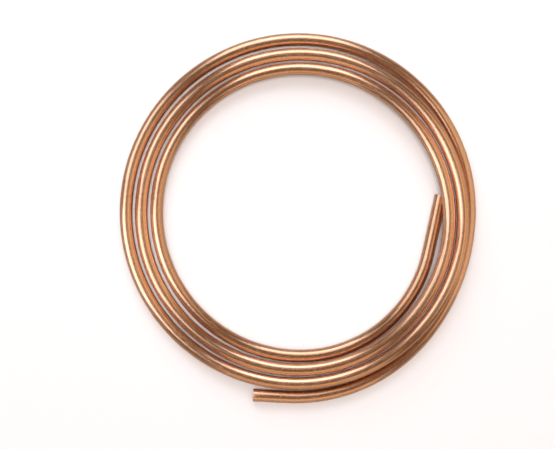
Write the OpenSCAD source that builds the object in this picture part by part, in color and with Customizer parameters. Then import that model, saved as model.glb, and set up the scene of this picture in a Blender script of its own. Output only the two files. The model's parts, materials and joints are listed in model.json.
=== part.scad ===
// Copper tube coil: one length of soft round copper tube in a flat, single-layer coil.
// Millimetres, +Z up. The coil lies on Z = 0 and the origin is under the middle of its box.
// The tube is laid out as a bending schedule from the outer free end to the inner one:
// a straight, then bends of a stated radius, some with a roll before them, then a straight.

/* [Tube] */
// Outside diameter of the tube, mm
tube_od = 12.7; // [9.5:0.1:13.2]
// Wall thickness of the tube, mm
tube_wall = 0.889; // [0.6:0.001:1.6]

/* [Coil] */
// Clear diameter of the eye inside the innermost full turn, mm
eye_d = 278.7; // [265:0.1:340]
// Clear gap between a turn and the next, seen from above, mm
turn_gap = 1.93; // [1.4:0.01:5]
// Least clear gap under the inner turns where they ride over the outermost turn, mm
ride_gap = 0.8; // [0.1:0.1:3]
// Share of the hand winding's unevenness that the turns keep, 0 for a true spiral
unevenness = 1; // [0:0.1:1]

/* [Outer end] */
// How much wider the last stretch of the outermost turn has sprung open, radius, mm
spring_open = 29.4; // [27:0.1:36]
// Straight length at the outer free end, mm
tail_straight = 34.7; // [20:0.1:60]

/* [Inner end] */
// How much tighter the last bend before the inner free end is than the innermost turn, mm
lead_tuck = 12.5; // [12:0.1:18]
// Straight length at the inner free end, mm
lead_straight = 61; // [40:0.5:61]

/* [Hidden] */
$fn = 48;
tube_r = tube_od / 2;
half_pitch = (tube_od + turn_gap) / 2;
r4 = eye_d / 2 + tube_r;
r3 = r4 + half_pitch;
r2 = r3 + half_pitch;
r1 = r2 + half_pitch;
r0 = r1 + half_pitch;
lead_r = r4 - lead_tuck;

// Each quarter turn has its own radius: the even winding's, and a little more or less where
// the tube was pushed by hand. From the bottom of the outermost turn inwards, mm.
even = [r0, r0, r0, r0, r1, r1, r2, r2, r3, r3, r4, r4];
uneven = [-4.2, -1, 1.6, -1, 0.9, -1.6, 0.6, -1, 0.7, -1.2, -0.3, 1.2];
q = [for (i = [0:11]) even[i] + unevenness * uneven[i]];
open_r = r0 + spring_open;

// Directions are pairs [cosine, sine]. Both numbers of a pair have few places, so that
// neighbouring bends meet on exactly the same circle.
quarter = [0, 1];
two_thirds = [0.6, 0.8];
one_third = [0.8, 0.6];
lean = [0.215608, 0.97648];
slopes = [0.019999, 0.0246152, 0.0285628, 0.0335214, 0.0352649, 0.0366817, 0.0379405, 0.0391588,
    0.0409304, 0.0418716, 0.0440801, 0.0466135, 0.0505605, 0.0544408, 0.0595219, 0.0653409];
function facing(s) = [sqrt(1 - s * s), s];
function back(d) = [d[0], -d[1]];

// The inner turns rise from the left of the coil, just far enough to ride over the outermost
// turn on the right; the last turn comes back down so that the inner end lies on the table.
rise = (tube_od + ride_gap) / (2 * r0 - half_pitch);
tilt = [for (s = slopes) if (s >= rise) s][0];
left_z = (q[3] + q[4] - q[5] - q[6] + q[7] + q[8] - q[9] - q[10]) * tilt;
reach = q[11] + lead_r * lean[1] + lead_straight * lean[0];
downs = [for (s = slopes) if (s <= tilt + left_z / reach) s];
down = downs[len(downs) - 1];
tail_slope = facing(0.0505605);

// One row a bend: the roll about the tube before it, its radius, the direction it turns through.
level = [1, 0];
bends = [
    [level, q[0], tail_slope],
    [level, q[0], two_thirds],
    [level, open_r, one_third],
    [level, q[1], quarter],
    [level, q[2], quarter],
    [facing(tilt), q[3], quarter],
    for (i = [4:10]) [level, q[i], quarter],
    [back(facing(down)), q[11], quarter],
    [level, lead_r, lean],
];

module turned(d) {
    multmatrix([[d[0], -d[1], 0, 0], [d[1], d[0], 0, 0], [0, 0, 1, 0], [0, 0, 0, 1]]) children();
}

module rolled(d) {
    multmatrix([[1, 0, 0, 0], [0, d[0], -d[1], 0], [0, d[1], d[0], 0], [0, 0, 0, 1]]) children();
}

// Carries what follows to the end of a bend; the tube runs along its own X.
module after(r, d) {
    translate([0, r, 0]) turned(d) translate([0, -r, 0]) children();
}

module section() {
    difference() {
        circle(d = tube_od);
        circle(d = tube_od - 2 * tube_wall);
    }
}

module straight(length) {
    rotate([0, 90, 0]) linear_extrude(length) section();
}

module arc(r, a) {
    translate([0, r, 0]) rotate([0, 0, -90]) rotate_extrude(angle = a) translate([r, 0]) section();
}

// A bend that isn't a quarter or a half turn is turned a little long and trimmed at its end.
module bend(r, d) {
    a = atan2(d[1], d[0]);
    if (a % 90 == 0) arc(r, a);
    else difference() {
        arc(r, a + 3);
        after(r, d) translate([0, -tube_od, -tube_od]) cube(2 * tube_od);
    }
}

module run(i) {
    if (i == len(bends)) straight(lead_straight);
    else rolled(bends[i][0]) {
        bend(bends[i][1], bends[i][2]);
        after(bends[i][1], bends[i][2]) run(i + 1);
    }
}

// The bottom of the outermost turn, where it is parallel to X.
low_y = -(q[0] * (1 - two_thirds[0]) + open_r * one_third[1] + q[1]) / 2;
low_x = (q[1] + q[2]) / 2 - q[0] * two_thirds[1] - open_r * (1 - one_third[0]);

module copper_tube() {
    color([0.85, 0.5, 0.3])
        translate([low_x - q[0] * tail_slope[1], low_y + q[0] * (1 - tail_slope[0]), tube_r])
            turned(back(tail_slope)) {
                translate([-tail_straight, 0, 0]) straight(tail_straight);
                run(0);
            }
}

copper_tube();
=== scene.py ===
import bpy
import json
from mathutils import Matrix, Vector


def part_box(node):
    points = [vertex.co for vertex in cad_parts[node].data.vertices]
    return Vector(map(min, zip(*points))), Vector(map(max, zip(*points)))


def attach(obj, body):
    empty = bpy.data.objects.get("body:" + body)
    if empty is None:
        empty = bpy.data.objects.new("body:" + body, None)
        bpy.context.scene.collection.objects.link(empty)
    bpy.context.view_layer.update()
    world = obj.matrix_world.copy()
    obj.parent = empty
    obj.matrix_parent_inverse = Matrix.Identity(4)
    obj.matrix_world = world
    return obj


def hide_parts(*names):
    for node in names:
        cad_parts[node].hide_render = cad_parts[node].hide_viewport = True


bl_info = {
    "name": "Copper Tube Coil",
    "version": (1, 0, 0),
    "blender": (4, 5, 0),
    "location": "View3D > Sidebar > Coil",
    "description": "Winds a flat coil of soft copper tube and sets up a plain studio around it",
    "category": "Add Mesh",
}

import json
import math

import bmesh
import bpy
from bpy.props import FloatProperty, FloatVectorProperty, IntProperty, PointerProperty
from mathutils import Matrix, Vector
from mathutils.kdtree import KDTree

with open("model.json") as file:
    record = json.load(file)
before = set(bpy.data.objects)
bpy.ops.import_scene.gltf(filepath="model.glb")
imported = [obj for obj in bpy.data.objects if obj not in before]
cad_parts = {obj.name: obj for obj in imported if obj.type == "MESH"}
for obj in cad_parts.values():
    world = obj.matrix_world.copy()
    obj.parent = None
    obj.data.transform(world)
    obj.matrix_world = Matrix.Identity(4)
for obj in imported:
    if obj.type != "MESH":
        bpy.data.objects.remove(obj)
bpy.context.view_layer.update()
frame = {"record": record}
COIL_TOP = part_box("copper_tube")[1][2]
MOUNTS = {mount["name"]: mount for mount in frame["record"]["mounts"]}
MM = 0.001

# How finely the wall is made: rings this far apart on a straight, and points nearer than the
# second length become one.
STRAIGHT_STEP = 0.008
MERGE_DISTANCE = 0.00001
SMOOTH_BELOW = math.radians(40)
# A cut end's edges lie this close to its plane and to its middle, and turn by more than this angle.
CUT_PLANE = 0.00002
CUT_REACH = 0.008
CUT_EDGE_ANGLE = 0.8
# A face is part of a cut end when its normal's share along the tube is more than this.
CUT_FACING = 0.8
LIGHT_DISTANCE = 3.0
SENSOR_WIDTH = 36.0
# The camera stands beside the middle of the coil, and frames the coil at this share of its height.
CAMERA_STAND = (-0.02065, -0.00636)
FRAMED_SHARE = 0.45

# Directions are pairs (cosine, sine), the same ones that the tube is bent through.
LEVEL = (1.0, 0.0)
QUARTER = (0.0, 1.0)
TWO_THIRDS = (0.6, 0.8)
ONE_THIRD = (0.8, 0.6)
LEAN = (0.215608, 0.97648)


def facing(sine):
    return (math.sqrt(1 - sine * sine), sine)


def back(direction):
    return (direction[0], -direction[1])


# ---------------------------------------------------------------- sizes a user would change


class CoilTubeSizes(bpy.types.PropertyGroup):
    outside_diameter: FloatProperty(
        name="Outside diameter", description="Outside diameter of the tube",
        default=2 * MOUNTS["outer_end"]["dims"]["r_mm"] * MM, min=0.004, max=0.03, precision=5,
        unit="LENGTH", subtype="DISTANCE")
    wall: FloatProperty(
        name="Wall", description="Wall thickness of the tube",
        default=0.889 * MM, min=0.0004, max=0.002, precision=5, unit="LENGTH", subtype="DISTANCE")
    rim_round: FloatProperty(
        name="Rim rounding", description="Rounding of the cut ends' edges",
        default=0.14 * MM, min=0.0, max=0.0004, precision=5, unit="LENGTH", subtype="DISTANCE")
    sides: IntProperty(
        name="Sides", description="Flat faces around the tube before smooth shading",
        default=56, min=12, max=96)
    ring_spacing: FloatProperty(
        name="Ring spacing", description="Angle between neighbouring rings of a bend",
        default=math.radians(2.5), min=math.radians(1), max=math.radians(10),
        unit="ROTATION", subtype="ANGLE")


class CoilWindingSizes(bpy.types.PropertyGroup):
    eye_diameter: FloatProperty(
        name="Eye", description="Clear diameter inside the innermost full turn",
        default=278.7 * MM, min=0.1, max=0.5, precision=5, unit="LENGTH", subtype="DISTANCE")
    turn_gap: FloatProperty(
        name="Turn gap", description="Clear gap between a turn and the next in an even winding",
        default=1.93 * MM, min=0.001, max=0.005, precision=5, unit="LENGTH", subtype="DISTANCE")
    unevenness: FloatProperty(
        name="Unevenness",
        description="Share of the hand winding's unevenness, 0 for a true spiral",
        default=1.0, min=0.0, max=1.0)
    spring_open: FloatProperty(
        name="Spring open",
        description="How much the last stretch of the outermost turn has sprung open",
        default=29.4 * MM, min=0.0, max=0.04, precision=5, unit="LENGTH", subtype="DISTANCE")
    tail_slope: FloatProperty(
        name="Tail slope", description="Sine of the outer straight's slope",
        default=0.0505605, min=0.0, max=0.1)
    ride_slope: FloatProperty(
        name="Ride slope",
        description="Sine of the slope at which the inner turns ride up to the right",
        default=0.0409304, min=0.0, max=0.08)
    fall_slope: FloatProperty(
        name="Fall slope", description="Sine of the roll that brings the inner end back down",
        default=0.0440801, min=0.0, max=0.08)
    lead_tuck: FloatProperty(
        name="Lead tuck", description="How much tighter the last bend is than the innermost turn",
        default=12.5 * MM, min=0.0, max=0.03, precision=5, unit="LENGTH", subtype="DISTANCE")
    tail_straight: FloatProperty(
        name="Outer straight", description="Straight length at the outer free end",
        default=MOUNTS["outer_end"]["dims"]["length_mm"] * MM, min=0.0, max=0.2, precision=5,
        unit="LENGTH", subtype="DISTANCE")
    lead_straight: FloatProperty(
        name="Inner straight", description="Straight length at the inner free end",
        default=MOUNTS["inner_end"]["dims"]["length_mm"] * MM, min=0.0, max=0.2, precision=5,
        unit="LENGTH", subtype="DISTANCE")


class CopperFinish(bpy.types.PropertyGroup):
    bright: FloatVectorProperty(
        name="Bright copper", description="Colour of the clean, bright tube wall",
        default=(0.94, 0.57, 0.37), size=3, min=0.0, max=1.0, subtype="COLOR")
    toned: FloatVectorProperty(
        name="Toned copper", description="Colour where handling has toned the wall",
        default=(0.86, 0.46, 0.27), size=3, min=0.0, max=1.0, subtype="COLOR")
    bore: FloatVectorProperty(
        name="Bore", description="Colour of the dull wall inside the tube",
        default=(0.42, 0.20, 0.11), size=3, min=0.0, max=1.0, subtype="COLOR")
    cut: FloatVectorProperty(
        name="Cut face", description="Colour of the freshly cut rims",
        default=(0.90, 0.55, 0.38), size=3, min=0.0, max=1.0, subtype="COLOR")


class StudioSizes(bpy.types.PropertyGroup):
    table_size: FloatProperty(
        name="Table", description="Side of the white table",
        default=10.0, min=1.0, max=20.0, unit="LENGTH", subtype="DISTANCE")
    camera_height: FloatProperty(
        name="Camera height", description="Height of the camera above the table",
        default=1.35, min=0.5, max=5.0, unit="LENGTH", subtype="DISTANCE")
    view_width: FloatProperty(
        name="View width", description="Width of the table that the camera takes in",
        default=0.5640, min=0.2, max=2.0, unit="LENGTH", subtype="DISTANCE")


# ---------------------------------------------------------------- the bending schedule


def move(x, y, z):
    return Matrix.Translation((x, y, z))


def turned(direction):
    c, s = direction
    return Matrix(((c, -s, 0, 0), (s, c, 0, 0), (0, 0, 1, 0), (0, 0, 0, 1)))


def rolled(direction):
    c, s = direction
    return Matrix(((1, 0, 0, 0), (0, c, -s, 0), (0, s, c, 0), (0, 0, 0, 1)))


# How much each quarter turn's radius differs from an even winding's, from the outer end in.
UNEVEN = [MM * d for d in (-4.2, -1.0, 1.6, -1.0, 0.9, -1.6, 0.6, -1.0, 0.7, -1.2, -0.3, 1.2)]
# How many half pitches each quarter turn lies outside the innermost one.
STEPS = (4, 4, 4, 4, 3, 3, 2, 2, 1, 1, 0, 0)


def turn_radii(tube, coil):
    inner = (coil.eye_diameter + tube.outside_diameter) / 2
    step = (tube.outside_diameter + coil.turn_gap) / 2
    return [inner + step * n + coil.unevenness * d for n, d in zip(STEPS, UNEVEN)]


def opened_radius(tube, coil):
    return (coil.eye_diameter + tube.outside_diameter) / 2 + 2 * (
        tube.outside_diameter + coil.turn_gap) + coil.spring_open


def along_bend(place, radius, direction):
    """Carries a place round a bend until its heading has turned to the direction."""
    return place @ move(0, radius, 0) @ turned(direction) @ move(0, -radius, 0)


def bending_schedule(tube, coil):
    """One row a bend: the roll before it, its radius, the direction it turns through."""
    q = turn_radii(tube, coil)
    return [
        (LEVEL, q[0], facing(coil.tail_slope)),
        (LEVEL, q[0], TWO_THIRDS),
        (LEVEL, opened_radius(tube, coil), ONE_THIRD),
        (LEVEL, q[1], QUARTER),
        (LEVEL, q[2], QUARTER),
        (facing(coil.ride_slope), q[3], QUARTER),
        *[(LEVEL, radius, QUARTER) for radius in q[4:11]],
        (back(facing(coil.fall_slope)), q[11], QUARTER),
        (LEVEL, (coil.eye_diameter + tube.outside_diameter) / 2 - coil.lead_tuck, LEAN),
    ]


def first_bend_place(tube, coil):
    """Where the first bend starts, heading along the outer straight."""
    q = turn_radii(tube, coil)
    opened = opened_radius(tube, coil)
    cosine, sine = facing(coil.tail_slope)
    low_x = (q[1] + q[2]) / 2 - q[0] * TWO_THIRDS[1] - opened * (1 - ONE_THIRD[0])
    low_y = -(q[0] * (1 - TWO_THIRDS[0]) + opened * ONE_THIRD[1] + q[1]) / 2
    place = move(low_x - q[0] * sine, low_y + q[0] * (1 - cosine), tube.outside_diameter / 2)
    return place @ turned((cosine, -sine))


def centre_line(tube, coil, spacing=0.001):
    """Points along the tube's axis: (position, heading, up, length so far)."""
    line = []
    place = first_bend_place(tube, coil)
    start = place @ move(-coil.tail_straight, 0, 0)

    def add(matrix, at):
        heading, up = matrix.col[0].xyz.copy(), matrix.col[2].xyz.copy()
        line.append((matrix.translation.copy(), heading, up, at))

    def add_straight(matrix, total, at):
        count = max(1, round(total / spacing))
        for k in range(count + 1):
            add(matrix @ move(total * k / count, 0, 0), at + total * k / count)
        return at + total

    length = add_straight(start, coil.tail_straight, 0.0)
    for roll, radius, direction in bending_schedule(tube, coil):
        place = place @ rolled(roll)
        angle = math.atan2(direction[1], direction[0])
        count = max(2, round(radius * angle / spacing))
        for k in range(1, count + 1):
            part = angle * k / count
            way = (math.cos(part), math.sin(part))
            add(along_bend(place, radius, way), length + radius * part)
        length += radius * angle
        place = along_bend(place, radius, direction)
    add_straight(place, coil.lead_straight, length)
    return line


# ---------------------------------------------------------------- small helpers


def deselect_everything():
    if bpy.context.object and bpy.context.object.mode != "OBJECT":
        bpy.ops.object.mode_set(mode="OBJECT")
    bpy.ops.object.select_all(action="DESELECT")


def make_only_active(piece):
    deselect_everything()
    piece.select_set(True)
    bpy.context.view_layer.objects.active = piece


def settle_at_origin(piece):
    """Puts a finished piece's place, turn and scale into its mesh."""
    make_only_active(piece)
    bpy.ops.object.transform_apply(location=True, rotation=True, scale=True)


def add_node(tree, kind, name):
    node = tree.nodes.new(kind)
    node.name = node.label = name
    return node


def new_material(name):
    material = bpy.data.materials.new(name)
    material.use_nodes = True
    material.node_tree.nodes.clear()
    tree = material.node_tree
    shader = tree.nodes.new("ShaderNodeBsdfPrincipled")
    output = tree.nodes.new("ShaderNodeOutputMaterial")
    tree.links.new(shader.outputs["BSDF"], output.inputs["Surface"])
    return material, tree, shader


def colour(value, alpha=1.0):
    return (value[0], value[1], value[2], alpha)


# ---------------------------------------------------------------- finishes


def tube_coordinates(tree, around, along):
    """The piece's own lengthwise coordinates: round the tube, and along it in metres."""
    place = add_node(tree, "ShaderNodeAttribute", "Round and along the tube")
    place.attribute_name = "tube_place"
    stretch = tree.nodes.new("ShaderNodeMapping")
    stretch.vector_type = "POINT"
    stretch.inputs["Scale"].default_value = (around, around, along)
    tree.links.new(place.outputs["Vector"], stretch.inputs["Vector"])
    return stretch.outputs["Vector"]


def noise(tree, coordinates, name, detail, roughness, scale=1.0):
    node = add_node(tree, "ShaderNodeTexNoise", name)
    node.inputs["Scale"].default_value = scale
    node.inputs["Detail"].default_value = detail
    node.inputs["Roughness"].default_value = roughness
    tree.links.new(coordinates, node.inputs["Vector"])
    return node.outputs["Fac"]


def remap(tree, source, name, low, high, to_low, to_high):
    node = add_node(tree, "ShaderNodeMapRange", name)
    node.inputs["From Min"].default_value = low
    node.inputs["From Max"].default_value = high
    node.inputs["To Min"].default_value = to_low
    node.inputs["To Max"].default_value = to_high
    tree.links.new(source, node.inputs["Value"])
    return node.outputs["Result"]


def colour_mix(tree, name, first, second, factor, blend_type="MIX"):
    """Mixes the second colour into the first, by as much as the factor says."""
    node = add_node(tree, "ShaderNodeMix", name)
    node.data_type = "RGBA"
    node.blend_type = blend_type
    node.inputs["A"].default_value = colour(first)
    node.inputs["B"].default_value = colour(second)
    tree.links.new(factor, node.inputs["Factor"])
    return node


def multiply_add(tree, name, source, times, plus):
    node = add_node(tree, "ShaderNodeMath", name)
    node.operation = "MULTIPLY_ADD"
    node.inputs[1].default_value = times
    tree.links.new(source, node.inputs[0])
    tree.links.new(plus, node.inputs[2])
    return node.outputs["Value"]


def drawn_copper(finish):
    """Bright soft-drawn copper: lengthwise draw lines, a faint toning and small handling marks."""
    material, tree, shader = new_material("drawn_copper")
    links = tree.links
    lines = noise(tree, tube_coordinates(tree, 14.0, 2.0), "Draw lines", 3.0, 0.5)
    bands = noise(tree, tube_coordinates(tree, 4.0, 0.7), "Draw bands", 2.0, 0.55)
    toning = noise(tree, tube_coordinates(tree, 0.9, 26.0), "Toning", 3.0, 0.55)
    marks = noise(tree, tube_coordinates(tree, 3.0, 60.0), "Handling marks", 4.0, 0.65)
    swells = noise(tree, tube_coordinates(tree, 0.6, 14.0), "Slight swells", 2.0, 0.5)

    toned = remap(tree, toning, "Toning amount", 0.35, 0.75, 0.0, 0.8)
    tint = colour_mix(tree, "Toned copper", finish.bright, finish.toned, toned)
    streaked = remap(tree, bands, "Streak amount", 0.48, 0.60, 0.0, 0.75)
    streak = colour_mix(
        tree, "Streaks", finish.bright, (0.70, 0.61, 0.53), streaked, blend_type="MULTIPLY")
    links.new(tint.outputs["Result"], streak.inputs["A"])
    links.new(streak.outputs["Result"], shader.inputs["Base Color"])

    rough = add_node(tree, "ShaderNodeMath", "Roughness")
    rough.operation = "ADD"
    links.new(remap(tree, lines, "Roughness of lines", 0.3, 0.75, 0.20, 0.30), rough.inputs[0])
    links.new(remap(tree, marks, "Roughness of marks", 0.5, 0.85, 0.0, 0.08), rough.inputs[1])
    links.new(rough.outputs["Value"], shader.inputs["Roughness"])

    furrows = multiply_add(tree, "Furrows", bands, 2.5, lines)
    relief = multiply_add(tree, "Relief", swells, 9.0, furrows)
    bump = tree.nodes.new("ShaderNodeBump")
    bump.inputs["Strength"].default_value = 0.5
    bump.inputs["Distance"].default_value = 0.00005
    links.new(relief, bump.inputs["Height"])
    links.new(bump.outputs["Normal"], shader.inputs["Normal"])
    shader.inputs["Metallic"].default_value = 1.0
    # Drawing leaves fine grooves along the tube, so its gloss spreads more round it than along it.
    around = add_node(tree, "ShaderNodeAttribute", "Round the tube")
    around.attribute_name = "tube_around"
    links.new(around.outputs["Vector"], shader.inputs["Tangent"])
    shader.inputs["Anisotropic"].default_value = 0.85
    return material


def dull_bore(finish):
    """The wall inside the tube: unpolished and a little oxidised."""
    material, tree, shader = new_material("dull_bore")
    patches = noise(tree, tube_coordinates(tree, 1.5, 60.0), "Oxide patches", 4.0, 0.6)
    oxide = remap(tree, patches, "Oxide amount", 0.35, 0.7, 0.0, 1.0)
    tint = colour_mix(tree, "Oxide", finish.bore, [0.45 * c for c in finish.bore], oxide)
    tree.links.new(tint.outputs["Result"], shader.inputs["Base Color"])
    rough = remap(tree, patches, "Bore roughness", 0.3, 0.7, 0.35, 0.55)
    tree.links.new(rough, shader.inputs["Roughness"])
    shader.inputs["Metallic"].default_value = 1.0
    return material


def cut_rim(finish):
    """The cut faces of the ends: raw metal with the cutter's fine rings."""
    material, tree, shader = new_material("cut_rim")
    grain = noise(tree, tube_coordinates(tree, 30.0, 900.0), "Cutter rings", 3.0, 0.6)
    ring = remap(tree, grain, "Ring tone", 0.35, 0.7, 0.0, 1.0)
    tint = colour_mix(tree, "Ringed cut", finish.cut, [0.7 * c for c in finish.cut], ring)
    tree.links.new(tint.outputs["Result"], shader.inputs["Base Color"])
    shader.inputs["Roughness"].default_value = 0.32
    shader.inputs["Metallic"].default_value = 1.0
    return material


def white_table():
    """A matt white table, painted darker grey where the copper's gloss sees it: a painted
    reflection.
    """
    material, tree, shader = new_material("white_table")
    place = tree.nodes.new("ShaderNodeTexCoord")
    grain = noise(tree, place.outputs["Object"], "Table grain", 2.0, 0.5, scale=60.0)
    rough = remap(tree, grain, "Table roughness", 0.3, 0.7, 0.75, 0.85)
    tree.links.new(rough, shader.inputs["Roughness"])
    # Painted reflection: glossy rays see the table as dark grey, while the camera sees it white.
    ray = tree.nodes.new("ShaderNodeLightPath")
    tone = colour_mix(
        tree, "Table tone and painted reflection", (0.92, 0.92, 0.92), (0.42, 0.40, 0.38), ray.outputs["Is Glossy Ray"])
    tree.links.new(tone.outputs["Result"], shader.inputs["Base Color"])
    shader.inputs["Specular IOR Level"].default_value = 0.15
    return material


# ---------------------------------------------------------------- pieces


def sweep_wall(tube, coil):
    """The tube's outer wall: a ring, drawn along the straights and spun round each bend."""
    place = first_bend_place(tube, coil)
    start = place @ move(-coil.tail_straight, 0, 0)
    radius = tube.outside_diameter / 2
    deselect_everything()
    # The ring is turned so that its axis lies along the tube and its first point on top.
    upright = start @ Matrix.Rotation(math.pi / 2, 4, "Y")
    bpy.ops.mesh.primitive_circle_add(
        vertices=tube.sides, radius=radius, fill_type="NOTHING",
        location=upright.translation, rotation=upright.to_euler())
    piece = bpy.context.object
    piece.name = piece.data.name = "tube_wall"
    settle_at_origin(piece)
    bpy.ops.object.mode_set(mode="EDIT")
    bpy.ops.mesh.select_all(action="SELECT")

    def draw_straight(matrix, total):
        count = max(1, round(total / STRAIGHT_STEP))
        step = matrix.to_3x3() @ Vector((1, 0, 0)) * (total / count)
        for _ in range(count):
            bpy.ops.mesh.extrude_region_move(TRANSFORM_OT_translate={"value": step})

    draw_straight(start, coil.tail_straight)
    for roll, bend_radius, direction in bending_schedule(tube, coil):
        place = place @ rolled(roll)
        angle = math.atan2(direction[1], direction[0])
        centre = place @ Vector((0, bend_radius, 0))
        axis = place.to_3x3() @ Vector((0, 0, -1))
        rings = max(1, math.ceil(angle / tube.ring_spacing))
        bpy.ops.mesh.spin(steps=rings, angle=angle, center=centre, axis=axis)
        place = along_bend(place, bend_radius, direction)
    draw_straight(place, coil.lead_straight)
    bpy.ops.mesh.select_all(action="SELECT")
    bpy.ops.mesh.remove_doubles(threshold=MERGE_DISTANCE)
    bpy.ops.mesh.normals_make_consistent(inside=False)
    bpy.ops.object.mode_set(mode="OBJECT")
    return piece


def outward(piece, line):
    """True when the wall's faces point away from the tube's axis."""
    face = piece.data.polygons[len(piece.data.polygons) // 2]
    nearest = min(line, key=lambda row: (row[0] - face.center).length_squared)
    return (face.center - nearest[0]).dot(face.normal) > 0


def give_thickness(piece, wall):
    make_only_active(piece)
    thick = piece.modifiers.new("Wall", "SOLIDIFY")
    thick.thickness = wall
    thick.offset = -1.0
    thick.use_even_offset = True
    thick.use_rim = True
    bpy.ops.object.modifier_apply(modifier=thick.name)


def round_rims(piece, line, rim_round):
    """Takes the sharpness off the four edges of the cut ends."""
    make_only_active(piece)
    bpy.ops.object.mode_set(mode="EDIT")
    bpy.ops.mesh.select_mode(type="EDGE")
    bpy.ops.mesh.select_all(action="DESELECT")
    mesh = bmesh.from_edit_mesh(piece.data)
    for point, heading, _, _ in (line[0], line[-1]):
        for edge in mesh.edges:
            offsets = [v.co - point for v in edge.verts]
            on_cut = all(abs(offset.dot(heading)) < CUT_PLANE and offset.length < CUT_REACH
                         for offset in offsets)
            if on_cut and len(edge.link_faces) == 2 and edge.calc_face_angle(0) > CUT_EDGE_ANGLE:
                edge.select_set(True)
    bmesh.update_edit_mesh(piece.data)
    bpy.ops.mesh.bevel(
        offset=rim_round, offset_type="OFFSET", segments=3, profile=0.5, affect="EDGES")
    bpy.ops.object.mode_set(mode="OBJECT")


def mark_places(piece, line):
    """Gives every point its place round and along the tube; returns how far it is from the axis."""
    tree = KDTree(len(line))
    for k, row in enumerate(line):
        tree.insert(row[0], k)
    tree.balance()
    places = []
    rounds = []
    reach = []
    for vertex in piece.data.vertices:
        _, k, _ = tree.find(vertex.co)
        point, heading, up, along = line[k]
        offset = vertex.co - point
        along += offset.dot(heading)
        offset -= heading * offset.dot(heading)
        side = heading.cross(up)
        places += [offset.normalized().dot(up), offset.normalized().dot(side), along]
        rounds += list(heading.cross(offset).normalized())
        reach.append(offset.length)
    attribute = piece.data.attributes.new("tube_place", "FLOAT_VECTOR", "POINT")
    attribute.data.foreach_set("vector", places)
    attribute = piece.data.attributes.new("tube_around", "FLOAT_VECTOR", "POINT")
    attribute.data.foreach_set("vector", rounds)
    return reach


def assign_finishes(piece, line, reach, tube, finish):
    """Gives the wall, the bore and the cut rims each their own finish."""
    for material in (drawn_copper(finish), dull_bore(finish), cut_rim(finish)):
        piece.data.materials.append(material)
    wall, bore, cut = range(3)
    ends = (line[0], line[-1])
    middle = (tube.outside_diameter - tube.wall) / 2
    for face in piece.data.polygons:
        is_cut = any((face.center - point).length < tube.outside_diameter
                     and abs(face.normal.dot(heading)) > CUT_FACING
                     for point, heading, _, _ in ends)
        mean = sum(reach[v] for v in face.vertices) / len(face.vertices)
        face.material_index = cut if is_cut else (wall if mean > middle else bore)


class COIL_OT_copper_tube(bpy.types.Operator):
    """Wind the copper tube: wall, bore, rounded cut ends and drawn finish"""

    bl_idname = "coil.copper_tube"
    bl_label = "Copper Tube"

    def execute(self, context):
        scene = context.scene
        tube, coil, finish = scene.coil_tube, scene.coil_winding, scene.coil_finish
        line = centre_line(tube, coil)
        piece = sweep_wall(tube, coil)
        if not outward(piece, line):
            make_only_active(piece)
            bpy.ops.object.mode_set(mode="EDIT")
            bpy.ops.mesh.select_all(action="SELECT")
            bpy.ops.mesh.flip_normals()
            bpy.ops.object.mode_set(mode="OBJECT")
        give_thickness(piece, tube.wall)
        round_rims(piece, line, tube.rim_round)
        reach = mark_places(piece, line)
        assign_finishes(piece, line, reach, tube, finish)
        make_only_active(piece)
        bpy.ops.object.shade_smooth_by_angle(angle=SMOOTH_BELOW)
        settle_at_origin(piece)
        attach(piece, "root")
        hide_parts("copper_tube")
        return {"FINISHED"}


def softbox(name, azimuth, zenith, width, height, radiance, tone):
    """A panel light that faces the middle of the table; its angles are degrees seen from there."""
    light = bpy.data.lights.new(name, "AREA")
    light.shape = "RECTANGLE"
    light.size = 2 * LIGHT_DISTANCE * math.tan(math.radians(width) / 2)
    light.size_y = 2 * LIGHT_DISTANCE * math.tan(math.radians(height) / 2)
    light.energy = radiance * math.pi * light.size * light.size_y
    light.color = tone
    lamp = bpy.data.objects.new(name, light)
    bpy.context.collection.objects.link(lamp)
    a, z = math.radians(azimuth), math.radians(zenith)
    direction = Vector((math.cos(a) * math.sin(z), math.sin(a) * math.sin(z), math.cos(z)))
    lamp.location = direction * LIGHT_DISTANCE
    # The panel's height runs up and down in its own upright plane.
    side = Vector((-math.sin(a), math.cos(a), 0.0))
    rise = direction.cross(side)
    lamp.rotation_euler = Matrix((side, rise, direction)).transposed().to_euler()
    return lamp


def studio_air(world):
    """Dim warm surroundings above, a paler ground below the table."""
    world.use_nodes = True
    tree = world.node_tree
    background = tree.nodes["Background"]
    place = tree.nodes.new("ShaderNodeTexCoord")
    split = tree.nodes.new("ShaderNodeSeparateXYZ")
    tree.links.new(place.outputs["Generated"], split.inputs["Vector"])
    above = remap(tree, split.outputs["Z"], "Above or below", -0.25, 0.10, 0.0, 1.0)
    blend = colour_mix(tree, "Ground and room", (0.42, 0.40, 0.38), (0.17, 0.12, 0.082), above)
    tree.links.new(blend.outputs["Result"], background.inputs["Color"])
    background.inputs["Strength"].default_value = 1.0


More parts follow.
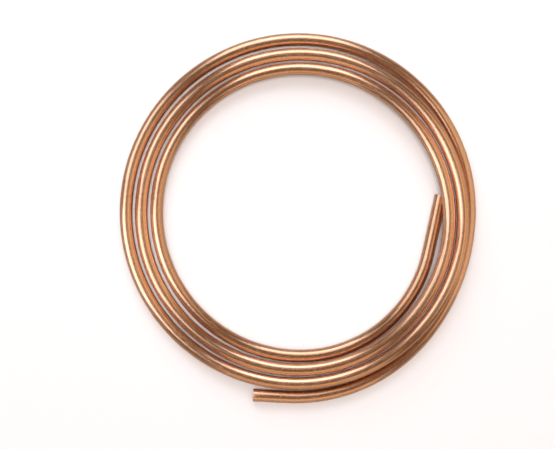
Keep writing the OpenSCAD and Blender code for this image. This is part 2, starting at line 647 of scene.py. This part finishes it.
class COIL_OT_studio(bpy.types.Operator):
    """Lay the white table, hang the softboxes and place the camera straight above"""

    bl_idname = "coil.studio"
    bl_label = "Studio"

    def execute(self, context):
        scene = context.scene
        studio = scene.coil_studio
        deselect_everything()
        bpy.ops.mesh.primitive_plane_add(size=studio.table_size, location=(0, 0, 0))
        table = context.object
        table.name = table.data.name = "white_table"
        table.data.materials.append(white_table())

        # Each row is a panel's name, the azimuth and zenith that it stands at, its width and
        # height, all four in degrees, its radiance and its tone. The gloss lights only show in
        # the copper, and the table lights only light the table, so each set is set by itself.
        cool = (0.94, 1.03, 1.16)
        warm = (1.0, 0.82, 0.60)
        gloss_lights = (
            ("top_softbox", 94, 52, 38, 42, 2.4, cool),
            ("left_softbox", 194, 40, 26, 48, 2.3, cool),
            ("upper_left_softbox", 153, 46, 24, 34, 1.95, cool),
            ("right_fill", 5, 55, 60, 68, 0.64, warm),
            ("near_fill", 271, 60, 54, 38, 0.74, warm),
        )
        white = (0.94, 1.0, 1.09)
        rosy = (1.12, 0.97, 0.92)
        table_lights = (
            ("overhead_table_light", 90, 0, 18, 18, 14.0, rosy),
            ("broad_table_light", 90, 8, 96, 96, 0.46, white),
            ("slanting_table_light", 104, 52, 48, 42, 2.7, white),
        )
        for row in gloss_lights:
            softbox(*row).visible_diffuse = False
        for row in table_lights:
            softbox(*row).visible_glossy = False
        world = bpy.data.worlds.new("studio_air")
        studio_air(world)
        scene.world = world
        scene.view_settings.view_transform = "Standard"

        camera = bpy.data.cameras.new("camera")
        camera.sensor_fit = "HORIZONTAL"
        camera.sensor_width = SENSOR_WIDTH
        framed_height = COIL_TOP * FRAMED_SHARE
        camera.lens = SENSOR_WIDTH * (studio.camera_height - framed_height) / studio.view_width
        camera.clip_end = 20.0
        seen = bpy.data.objects.new("camera", camera)
        context.collection.objects.link(seen)
        seen.location = (*CAMERA_STAND, studio.camera_height)
        seen.rotation_euler = (0.0, 0.0, 0.0)
        scene.camera = seen
        return {"FINISHED"}


# ---------------------------------------------------------------- panel and registration


class COIL_PT_panel(bpy.types.Panel):
    bl_label = "Copper Tube Coil"
    bl_idname = "COIL_PT_panel"
    bl_space_type = "VIEW_3D"
    bl_region_type = "UI"
    bl_category = "Coil"

    def draw(self, context):
        layout = self.layout
        scene = context.scene
        groups = (("Tube", scene.coil_tube), ("Winding", scene.coil_winding),
                  ("Finish", scene.coil_finish), ("Studio", scene.coil_studio))
        for title, group in groups:
            box = layout.box()
            box.label(text=title)
            for name in group.bl_rna.properties.keys():
                if name not in {"rna_type", "name"}:
                    box.prop(group, name)
        layout.operator(COIL_OT_copper_tube.bl_idname)
        layout.operator(COIL_OT_studio.bl_idname)


CLASSES = (CoilTubeSizes, CoilWindingSizes, CopperFinish, StudioSizes,
           COIL_OT_copper_tube, COIL_OT_studio, COIL_PT_panel)


def register():
    for cls in CLASSES:
        bpy.utils.register_class(cls)
    bpy.types.Scene.coil_tube = PointerProperty(type=CoilTubeSizes)
    bpy.types.Scene.coil_winding = PointerProperty(type=CoilWindingSizes)
    bpy.types.Scene.coil_finish = PointerProperty(type=CopperFinish)
    bpy.types.Scene.coil_studio = PointerProperty(type=StudioSizes)


def unregister():
    for name in ("coil_tube", "coil_winding", "coil_finish", "coil_studio"):
        delattr(bpy.types.Scene, name)
    for cls in reversed(CLASSES):
        bpy.utils.unregister_class(cls)


def main():
    register()
    bpy.ops.coil.copper_tube()
    bpy.ops.coil.studio()


if __name__ == "__main__":
    main()
